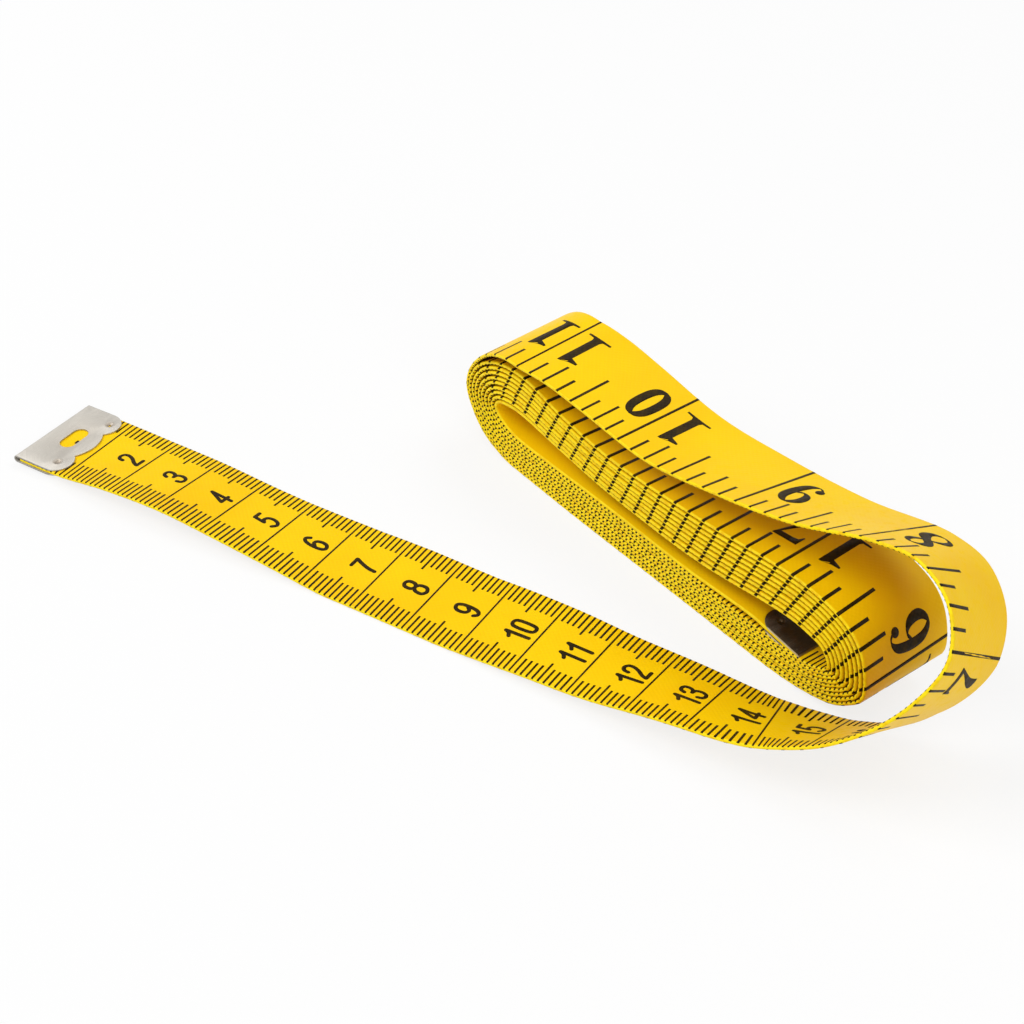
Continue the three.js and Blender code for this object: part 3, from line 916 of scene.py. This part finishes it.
def inkMesh(name, points, faces, material):
    # joins the corners that polygons share, lays them on the strip and gives the film its depth
    digits = printLook["joinDigits"]
    keys, order, renumber = {}, [], []
    for p in points:
        key = (round(p[0], digits), round(p[1], digits), p[2])
        if key not in keys:
            keys[key] = len(order)
            order.append(p)
        renumber.append(keys[key])
    made = []
    for face in faces:
        ring = [renumber[i] for i in face]
        ring = [v for i, v in enumerate(ring) if v != ring[i - 1]]
        if len(ring) > 2:
            made.append(ring)
    piece = makeMesh(name, [surfacePlace(*p) for p in order], made, material)
    notePlaces(piece, "stripPlace", [(p[0] * mm, p[1] * mm, 0) for p in order])
    smoothShade(piece, tape["sharpFrom"])
    solid = piece.modifiers.new("film", "SOLIDIFY")
    solid.thickness = printLook["depth"] * mm
    solid.offset = -1
    return piece


# Materials. A wiring adds nodes to one node tree; a value is a number, a colour or another node's output.
class Wiring:
    def __init__(self, tree):
        self.nodes, self.links = tree.nodes, tree.links
        self.nodes.clear()

    def add(self, kind, values=(), **settings):
        # values go to the inputs in order, or by name from a dictionary; settings are the node's own
        node = self.nodes.new("ShaderNode" + kind)
        for name, setting in settings.items():
            setattr(node, name, setting)
        for key, value in values.items() if isinstance(values, dict) else enumerate(values):
            socket = node.inputs[key]
            if isinstance(value, bpy.types.NodeSocket):
                self.links.new(value, socket)
            else:
                socket.default_value = (*value, 1) if socket.type == "RGBA" else value
        return node.outputs

    def compute(self, operation, *values):
        return self.add("Math", values, operation=operation)[0]

    def mapped(self, value, low, high, toLow=0.0, toHigh=1.0):
        return self.add("MapRange", (value, low, high, toLow, toHigh), interpolation_type="SMOOTHSTEP")[0]

    def mixed(self, share, first, second):
        return self.add("Mix", {0: share, 6: first, 7: second}, data_type="RGBA")[2]

    def noise(self, place, size, detail, **more):
        return self.add("TexNoise", {"Vector": place, "Scale": size, "Detail": detail, **more})["Fac"]

    def bump(self, height, distance):
        return self.add("Bump", {"Strength": 1.0, "Distance": distance * mm, "Height": height})["Normal"]

    def use(self, group, place, values=()):
        return self.add("Group", {"Place": place, **dict(values)}, node_tree=group)

    def blotches(self, place, perMetre, low, high):
        # a mask of blotches: none where the noise is below low, full where it is above high
        return self.use(mottle, place, {"Blotches per metre": perMetre, "Low": low, "High": high})["Mask"]

    def seenBy(self, *rays):
        # 1 for the rays named and 0 for others
        path = self.add("LightPath")
        share = path[rays[0]]
        for ray in rays[1:]:
            share = self.compute("MAXIMUM", share, path[ray])
        return share


def newGroup(name, inputs, outputs):
    # a shader node group that takes a place and numbers, and puts out numbers that change over the surface
    group = bpy.data.node_groups.new(name, "ShaderNodeTree")
    wiring = Wiring(group)
    for label, value in inputs.items():
        kind = "NodeSocketVector" if value is None else "NodeSocketFloat"
        socket = group.interface.new_socket(label, in_out="INPUT", socket_type=kind)
        if value is not None:
            socket.default_value = value
    for label in outputs:
        group.interface.new_socket(label, in_out="OUTPUT", socket_type="NodeSocketFloat")
    return group, wiring, group.nodes.new("NodeGroupInput").outputs, group.nodes.new("NodeGroupOutput").inputs


# The effects that the materials share. Each pair is the range over which a mask rises.
effects = dict(
    threads=2200.0,  # per metre, as are the blotches and the streaks
    unevenness=0.35,
    unevenPerMetre=900,
    unevenDetail=3,
    threadFrom=(-0.6, 0.8),
    blotches=120.0,
    blotchFrom=(0.4, 0.65),
    blotchDetail=4,
    blotchRoughness=0.6,
    streaks=4000.0,
    stretch=0.04,
    streakDetail=3,
    scratchPerMetre=260,
    scratchDetail=2,
    scratchBend=1.5,
    scratchWidth=0.012,  # how far the noise may be from its middle on a scratch
    scratchFrom=(0.5, 0.62),
)


def weaveGroup():
    # threads of the cloth under its coating, crossing over and under; the place is along and across
    inputs = {"Place": None, "Threads per metre": effects["threads"], "Unevenness": effects["unevenness"]}
    group, wiring, given, result = newGroup("coated weave", inputs, ("Height", "Thread"))
    split = wiring.add("SeparateXYZ", [given["Place"]])
    sines = []
    for axis in ("X", "Y"):
        turns = wiring.compute("MULTIPLY", split[axis], given["Threads per metre"])
        sines.append(wiring.compute("SINE", wiring.compute("MULTIPLY", turns, math.pi)))
    crossing = wiring.compute("MULTIPLY", *sines)
    uneven = wiring.noise(given["Place"], effects["unevenPerMetre"], effects["unevenDetail"])
    rough = wiring.compute("MULTIPLY", uneven, given["Unevenness"])
    wiring.links.new(wiring.compute("MULTIPLY_ADD", crossing, 0.5, rough), result["Height"])
    wiring.links.new(wiring.mapped(crossing, *effects["threadFrom"]), result["Thread"])
    return group


def mottleGroup():
    # soft blotches, with a mask that says how strong each is
    low, high = effects["blotchFrom"]
    inputs = {"Place": None, "Blotches per metre": effects["blotches"], "Low": low, "High": high}
    group, wiring, given, result = newGroup("mottle", inputs, ("Mask",))
    noise = wiring.noise(
        given["Place"], given["Blotches per metre"], effects["blotchDetail"], Roughness=effects["blotchRoughness"]
    )
    wiring.links.new(wiring.mapped(noise, given["Low"], given["High"]), result["Mask"])
    return group


def scuffGroup():
    # fine streaks along the place's Y direction, and scratches broken up by them
    inputs = {"Place": None, "Streaks per metre": effects["streaks"], "Stretch": effects["stretch"]}
    group, wiring, given, result = newGroup("scuffs", inputs, ("Streak", "Scratch"))
    split = wiring.add("SeparateXYZ", [given["Place"]])
    shortY = wiring.compute("MULTIPLY", split["Y"], given["Stretch"])
    squeezed = wiring.add("CombineXYZ", (split["X"], shortY))[0]
    streak = wiring.noise(squeezed, given["Streaks per metre"], effects["streakDetail"])
    wiring.links.new(streak, result["Streak"])
    cells = wiring.noise(
        given["Place"], effects["scratchPerMetre"], effects["scratchDetail"], Distortion=effects["scratchBend"]
    )
    line = wiring.compute("ABSOLUTE", wiring.compute("SUBTRACT", cells, 0.5))
    thin = wiring.mapped(line, 0.0, effects["scratchWidth"], 1.0, 0.0)
    broken = wiring.mapped(streak, *effects["scratchFrom"])
    wiring.links.new(wiring.compute("MULTIPLY", thin, broken), result["Scratch"])
    return group


weave, mottle, scuffs = weaveGroup(), mottleGroup(), scuffGroup()


def newMaterial(name, placeName):
    # placeName is the attribute of the mesh that holds the place on the strip or the plate
    material = bpy.data.materials.new(name)
    material.use_nodes = True
    wiring = Wiring(material.node_tree)
    return material, wiring, wiring.add("Attribute", attribute_name=placeName)["Vector"]


def finishMaterial(wiring, colour, values):
    shader = wiring.add("BsdfPrincipled", {"Base Color": colour, **values})
    wiring.add("OutputMaterial", {"Surface": shader["BSDF"]})


vinyl = dict(
    face=(0.9, 0.585, 0.0012),
    faceDeep=(0.87, 0.44, 0.001),
    edge=(0.93, 0.71, 0.008),
    edgeShade=(0.84, 0.52, 0.004),
    grime=(0.3, 0.19, 0.03),
    grimeShare=0.16,
    grimeFrom=(8.7, 9.45),  # across from the middle
    broadShare=0.45,
    threadShare=0.12,
    # blotches per metre, and where their noise starts and ends
    broadBlotches=(45, 0.35, 0.75),
    fineBlotches=(650, 0.45, 0.7),
    grimeBlotches=(170, 0.5, 0.72),
    roughness=(0.42, 0.54),
    gloss=0.1,
    threads=2100,
    weaveHeight=0.014,
)


def vinylMaterial():
    # yellow vinyl over cloth; the cut edges show the paler coat and the ends of its threads
    material, wiring, place = newMaterial("vinyl cloth", "stripPlace")
    split = wiring.add("SeparateXYZ", [place])
    cloth = wiring.use(weave, place, {"Threads per metre": vinyl["threads"]})
    broad = wiring.compute("MULTIPLY", wiring.blotches(place, *vinyl["broadBlotches"]), vinyl["broadShare"])
    fine = wiring.blotches(place, *vinyl["fineBlotches"])
    face = wiring.mixed(broad, vinyl["face"], vinyl["faceDeep"])
    threads = wiring.compute("MULTIPLY", cloth["Thread"], vinyl["threadShare"])
    face = wiring.mixed(threads, face, vinyl["faceDeep"])
    low, high = vinyl["grimeFrom"]
    rim = wiring.mapped(wiring.compute("ABSOLUTE", split["Y"]), low * mm, high * mm)
    patches = wiring.compute("MULTIPLY", rim, wiring.blotches(place, *vinyl["grimeBlotches"]))
    dirt = wiring.compute("MULTIPLY", patches, vinyl["grimeShare"])
    edge = wiring.mixed(fine, vinyl["edge"], vinyl["edgeShade"])
    colour = wiring.mixed(dirt, wiring.mixed(split["Z"], face, edge), vinyl["grime"])
    finishMaterial(wiring, colour, {
        "Roughness": wiring.mapped(fine, 0.0, 1.0, *vinyl["roughness"]),
        "Specular IOR Level": vinyl["gloss"],
        "Normal": wiring.bump(cloth["Height"], vinyl["weaveHeight"]),
    })
    return material


inkLook = dict(
    dark=(0.014, 0.008, 0.001),
    thin=(0.055, 0.032, 0.003),
    wornShare=0.7,
    wornBlotches=(420, 0.42, 0.72),
    threadShare=0.2,
    roughness=(0.5, 0.66),
    gloss=0.08,
)


def inkMaterial():
    # brown-black ink, thinner in blotches where it wore off the threads
    material, wiring, place = newMaterial("printing ink", "stripPlace")
    cloth = wiring.use(weave, place, {"Threads per metre": vinyl["threads"]})
    wearAndEdgeReflection = wiring.blotches(place, *inkLook["wornBlotches"])
    threads = wiring.compute("MULTIPLY", cloth["Thread"], inkLook["threadShare"])
    share = wiring.compute("MULTIPLY_ADD", wearAndEdgeReflection, inkLook["wornShare"], threads)
    finishMaterial(wiring, wiring.mixed(share, inkLook["dark"], inkLook["thin"]), {
        "Roughness": wiring.mapped(wearAndEdgeReflection, 0.0, 1.0, *inkLook["roughness"]),
        "Specular IOR Level": inkLook["gloss"],
        "Normal": wiring.bump(cloth["Height"], vinyl["weaveHeight"]),
    })
    return material


plating = dict(
    bright=(0.535, 0.508, 0.46),
    dull=(0.42, 0.395, 0.357),
    darkening=(0.25, 0.2, 0.15),
    # painted dark reflection along the rim and the fold
    rim=(0.31, 0.29, 0.26),
    roughness=(0.5, 0.66),
)
# a darker copy of the plating for the tip inside the roll: painted shade and a painted dark reflection of the
# opening
shadedPlating = dict(
    bright=(0.14, 0.12, 0.095),
    dull=(0.06, 0.052, 0.044),
    darkening=(0.1, 0.075, 0.035),
    # painted highlight along the rim and the fold
    rim=(0.72, 0.64, 0.44),
    roughness=(0.3, 0.5),
)
sheetLook = dict(
    scratch=(0.85, 0.83, 0.8),
    cloudyShare=0.55,
    cloudyBlotches=(330, 0.38, 0.72),
    spotShare=0.35,
    spotBlotches=(900, 0.6, 0.75),
    clinchShare=0.75,
    scratchShare=0.5,
    # how much of the painted reflection colour the rim and the fold take, and where
    rimShare=0.8,
    rimFrom=(9.4, 9.55),  # across from the middle
    foldTo=(-0.7, 0.1),  # along from the fold
    foldShare=0.6,
    scratchGrain=-0.6,
    grainHeight=0.006,
    streakFrom=(0.35, 0.65),
)


def steelMaterial(name, look):
    # thin plated sheet, rubbed across by use, darker towards the clinches' middles and round the slot, with a
    # painted reflection along its rim and fold: a dark line on the plating and a pale painted highlight on the
    # darker copy
    material, wiring, place = newMaterial(name, "platePlace")
    split = wiring.add("SeparateXYZ", [place])
    rubbed = wiring.use(scuffs, place)
    metal = look["bright"]
    for mask, share, colour in (
        (wiring.blotches(place, *sheetLook["cloudyBlotches"]), "cloudyShare", look["dull"]),
        (wiring.blotches(place, *sheetLook["spotBlotches"]), "spotShare", look["darkening"]),
        # darker into the clinches and round the slot, by the shares given for the plate
        (split["Z"], "clinchShare", look["darkening"]),
        (rubbed["Scratch"], "scratchShare", sheetLook["scratch"]),
    ):
        metal = wiring.mixed(wiring.compute("MULTIPLY", mask, sheetLook[share]), metal, colour)
    # the rim and the fold take a painted reflection: dark on the plating, a pale highlight on the darker copy
    rim = wiring.mapped(wiring.compute("ABSOLUTE", split["Y"]), *[d * mm for d in sheetLook["rimFrom"]])
    fold = wiring.mapped(split["X"], *[d * mm for d in sheetLook["foldTo"]], sheetLook["foldShare"], 0.0)
    wearAndEdgeReflection = wiring.compute("MAXIMUM", wiring.compute("MULTIPLY", rim, sheetLook["rimShare"]), fold)
    grain = wiring.compute("MULTIPLY_ADD", rubbed["Scratch"], sheetLook["scratchGrain"], rubbed["Streak"])
    finishMaterial(wiring, wiring.mixed(wearAndEdgeReflection, metal, look["rim"]), {
        "Roughness": wiring.mapped(rubbed["Streak"], *sheetLook["streakFrom"], *look["roughness"]),
        "Metallic": 1.0,
        "Normal": wiring.bump(grain, sheetLook["grainHeight"]),
    })
    return material


vinylCloth, blackInk = vinylMaterial(), inkMaterial()
# the second steel is painted shade: the plating darkened for the tip inside the roll
platedSteel, shadedSteel = steelMaterial("plated steel", plating), steelMaterial("shaded steel", shadedPlating)
print("materials made")


def makeTape():
    marks = run["mark"]
    inset = tip["clothInset"]
    ends = [marks[-1] - inset] + cuts + [marks[0] + inset + tip["askew"]]
    ink = Ink(printLook["lift"])
    printTicks(ink)
    printFigures(ink)
    print("print laid: %d faces" % sum(len(f) for f in ink.faces))
    for part in range(len(parts)):
        high, low = ends[part], ends[part + 1]
        name = "tapeRoll" if part == 0 else f"tapeTail{part}"
        cloth = tapeMesh(name, low, high, vinylCloth)
        film = inkMesh(name + "Print", ink.points[part], ink.faces[part], blackInk)
        for piece in (cloth, film):
            placeOnBodies(piece, part)
        if part == 0:
            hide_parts("tape_winding", "tape_lead", "tape_loop")
        else:
            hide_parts(f"tape_tail_{part}")
        print(name, "made")


makeTape()


# Each tip is one plate, laid out flat, folded over the strip's end and clinched.
def plateOutline(along):
    # the lobed edge of one leaf, from the near corner of the fold to the far one; along is where
    # the leaf's flat part starts
    radius, half = tip["lobeRadius"], tip["halfWidth"]
    lobeX, lobeY = tip["length"] - radius, half - radius
    offset, depth = tip["notchOffset"], tip["notchDepth"]
    notchAngle = math.atan2(offset - lobeY, radius - depth)
    middleRadius = (offset ** 2 + depth ** 2) / (2 * depth)
    middleAngle = math.asin(offset / middleRadius)

    def arc(x, y, r, low, high, count):
        return [(x + r * math.cos(t), y + r * math.sin(t)) for t in np.linspace(low, high, count)]

    lobes = arc(lobeX, -lobeY, radius, -math.pi / 2, -notchAngle, tip["lobeSteps"])
    middleX = tip["length"] - middleRadius
    lobes += arc(middleX, 0, middleRadius, -middleAngle, middleAngle, tip["notchSteps"])[1:-1]
    lobes += arc(lobeX, lobeY, radius, notchAngle, math.pi / 2, tip["lobeSteps"])
    lobes = [(x - tip["skew"] * y, y) for x, y in lobes]
    side = [(along + (lobeX - along) * share, half) for share in tip["sideShares"]]
    columns = tip["foldColumns"]
    fold = [(along, half - 2 * half * t / columns) for t in range(columns + 1)]
    return lobes + side + fold + [(x, -y) for x, y in side[::-1]]


def slotOutline():
    reach, radius = (tip["slotLength"] - tip["slotWidth"]) / 2, tip["slotWidth"] / 2
    ring = []
    for k in range(tip["slotSteps"]):
        angle = 2 * math.pi * (k + 0.5) / tip["slotSteps"]
        y = tip["aside"] + radius * math.sin(angle) + (reach if math.sin(angle) > 0 else -reach)
        ring.append((tip["slotPlace"] + radius * math.cos(angle), y))
    return ring


def inOpening(place):
    # whether a place on a leaf lies in the slot or in the pierced clinch
    reach = (tip["slotLength"] - tip["slotWidth"]) / 2
    beyond = max(abs(place.y - tip["aside"]) - reach, 0)
    if math.hypot(place.x - tip["slotPlace"], beyond) < tip["slotWidth"] / 2 - tip["slotMargin"]:
        return True
    hole = tip["dimpleRings"][-1][0] * tip["dimpleRadius"] * tip["holeShare"]
    return any(pierced and math.hypot(place.x - x, place.y - y) < hole for x, y, pierced in tip["dimples"])


def leaf(along):
    # flat points (x, y, height, stain) and faces of one leaf of the plate
    points, edges = [], []

    def addRing(ring, height, darkening):
        start = len(points)
        points.extend((x, y, height, darkening) for x, y in ring)
        edges.extend((start + k, start + (k + 1) % len(ring)) for k in range(len(ring)))
        return list(range(start, len(points)))

    border = addRing(plateOutline(along), 0, 0)
    # the slot's edge and the clinch rings are darkened by these shares, most towards the clinches' middles
    addRing(slotOutline(), 0, tip["slotDarkening"])
    for x, y, pierced in tip["dimples"]:
        for share, height, darkening in tip["dimpleRings"]:
            r = share * tip["dimpleRadius"]
            addRing(disc(x, y, r, r, tip["dimpleSteps"]), height, darkening)
        if not pierced:
            points.append((x, y, *tip["dimpleMiddle"]))
    flat = [Vector(p[:2]) for p in points]
    made, _, triangles, origins, _, _ = delaunay_2d_cdt(flat, edges, [border], 1, tip["joinWithin"])
    kept = []
    for triangle in triangles:
        middle = sum((made[i] for i in triangle), Vector((0, 0))) / len(triangle)
        if not inOpening(middle):
            kept.append(list(triangle))
    return [(p.x, p.y, *points[origin[0]][2:]) for p, origin in zip(made, origins)], kept


def plateMesh(name, edgeMark, inward, material, askew, stretch):
    # edgeMark is the strip's end and inward the way along the strip from it
    radius = tape["thickness"] / 2 + tip["gap"] + tip["sheet"] / 2
    flat, triangles = leaf(radius)
    steps, columns = tip["foldSteps"], tip["foldColumns"]
    points, faces, places = [], [], []

    def lay(x, y, up):
        share = (y / tip["halfWidth"] + 1) / 2 * max(0, 1 - x / tip["length"])
        i, t = stationAt(edgeMark + inward * (x * stretch + askew * share))
        base = run["place"][i] + (run["place"][i + 1] - run["place"][i]) * t
        points.append(base + run["cross"][i] * y + run["normal"][i] * up)

    for side in (1, -1):
        start = len(points)
        for x, y, height, darkening in flat:
            lay(x, y, side * (radius + height))
            places.append((x * mm, y * mm, darkening))
        faces += [[start + i for i in (t if side * inward > 0 else t[::-1])] for t in triangles]
    start = len(points)
    for k in range(steps + 1):
        angle = math.pi * (0.5 - k / steps)
        for t in range(columns + 1):
            y = tip["halfWidth"] * (1 - 2 * t / columns)
            lay(radius * (1 - math.cos(angle)), y, radius * math.sin(angle))
            places.append((-radius * (math.pi / 2 - angle) * mm, y * mm, 0))
    for k in range(steps):
        for j in range(columns):
            a = start + k * (columns + 1) + j
            face = [a, a + 1, a + columns + 2, a + columns + 1]
            faces.append(face[::-1] if inward > 0 else face)
    plate = makeMesh(name, points, faces, material)
    notePlaces(plate, "platePlace", places)
    weld = plate.modifiers.new("weld", "WELD")
    weld.merge_threshold = tip["weldWithin"] * mm
    thick = plate.modifiers.new("sheet", "SOLIDIFY")
    thick.thickness, thick.offset, thick.use_even_offset = tip["sheet"] * mm, 0, True
    rounded = plate.modifiers.new("edges", "BEVEL")
    rounded.width, rounded.segments = tip["bevel"] * mm, tip["bevelSteps"]
    rounded.limit_method, rounded.angle_limit = "ANGLE", math.radians(tip["bevelFrom"])
    shaped = bpy.data.meshes.new_from_object(plate.evaluated_get(bpy.context.evaluated_depsgraph_get()))
    plate.modifiers.clear()
    plate.data = shaped
    smoothShade(plate, tip["sharpFrom"])
    return plate


def makeTips():
    plates = (
        ("startTip", run["mark"][0], 1, platedSteel, tip["askew"], 1, "tail_5", "start_tip"),
        # the tip inside the roll takes the darker copy of the plating, painted shade
        ("endTip", run["mark"][-1], -1, shadedSteel, 0, tip["endStretch"], "roll", "end_tip"),
    )
    for name, edgeMark, inward, material, askew, stretch, body, node in plates:
        plate = plateMesh(name, edgeMark, inward, material, askew, stretch)
        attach(plate, body)
        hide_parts(node)
        print(name, "made")


makeTips()


# Floor, background and lights
stageLook = dict(
    floorSize=4.0,
    floorBelow=0.00002,  # metres
    floorColour=(0.82, 0.82, 0.82),
    floorGlow=0.8,  # the share of plain white that the camera sees on the floor
    white=(1, 1, 1),
    worldLight=0.37,
    # name, place, aim, size and power of each lamp
    lamps=[
        ("key", (-0.55, -0.55, 0.75), (0, 0, 0), (0.7, 0.7), 7.4),
        ("top", (0.1, 0.5, 0.9), (0, 0, 0), (0.9, 0.5), 3.5),
        ("side", (0.8, -0.3, 0.45), (0.04, 0, 0.01), (0.5, 0.5), 3),
    ],
)


def makeFloor():
    mesh = bpy.data.meshes.new("floor")
    size = stageLook["floorSize"]
    mesh.from_pydata([(-size, -size, 0), (size, -size, 0), (size, size, 0), (-size, size, 0)], [], [(0, 1, 2, 3)])
    floor = bpy.data.objects.new("floor", mesh)
    bpy.context.scene.collection.objects.link(floor)
    material = bpy.data.materials.new("floor")
    material.use_nodes = True
    wiring = Wiring(material.node_tree)
    seen = wiring.compute("MULTIPLY", wiring.seenBy("Is Camera Ray", "Is Glossy Ray"), stageLook["floorGlow"])
    matt = wiring.add("BsdfDiffuse", {"Color": stageLook["floorColour"]})[0]
    glow = wiring.add("Emission", {"Color": stageLook["white"], "Strength": 1})[0]
    wiring.add("OutputMaterial", {"Surface": wiring.add("MixShader", (seen, matt, glow))[0]})
    mesh.materials.append(material)
    floor.location.z = -stageLook["floorBelow"]


def makeWorld():
    world = bpy.data.worlds.new("world")
    bpy.context.scene.world = world
    world.use_nodes = True
    wiring = Wiring(world.node_tree)
    seen = wiring.seenBy("Is Camera Ray", "Is Glossy Ray", "Is Transmission Ray")
    dim, plain = (
        wiring.add("Background", {"Color": stageLook["white"], "Strength": strength})[0]
        for strength in (stageLook["worldLight"], 1)
    )
    wiring.add("OutputWorld", {"Surface": wiring.add("MixShader", (seen, dim, plain))[0]})


def makeLamps():
    for name, place, aim, size, power in stageLook["lamps"]:
        data = bpy.data.lights.new(name, "AREA")
        data.shape = "RECTANGLE"
        data.size, data.size_y = size
        data.energy = power
        lamp = bpy.data.objects.new(name, data)
        bpy.context.scene.collection.objects.link(lamp)
        lamp.location = place
        lamp.rotation_euler = (Vector(aim) - Vector(place)).to_track_quat("-Z", "Y").to_euler()


makeFloor()
makeWorld()
makeLamps()
print("stage made")

bpy.context.scene.view_settings.view_transform = "Standard"
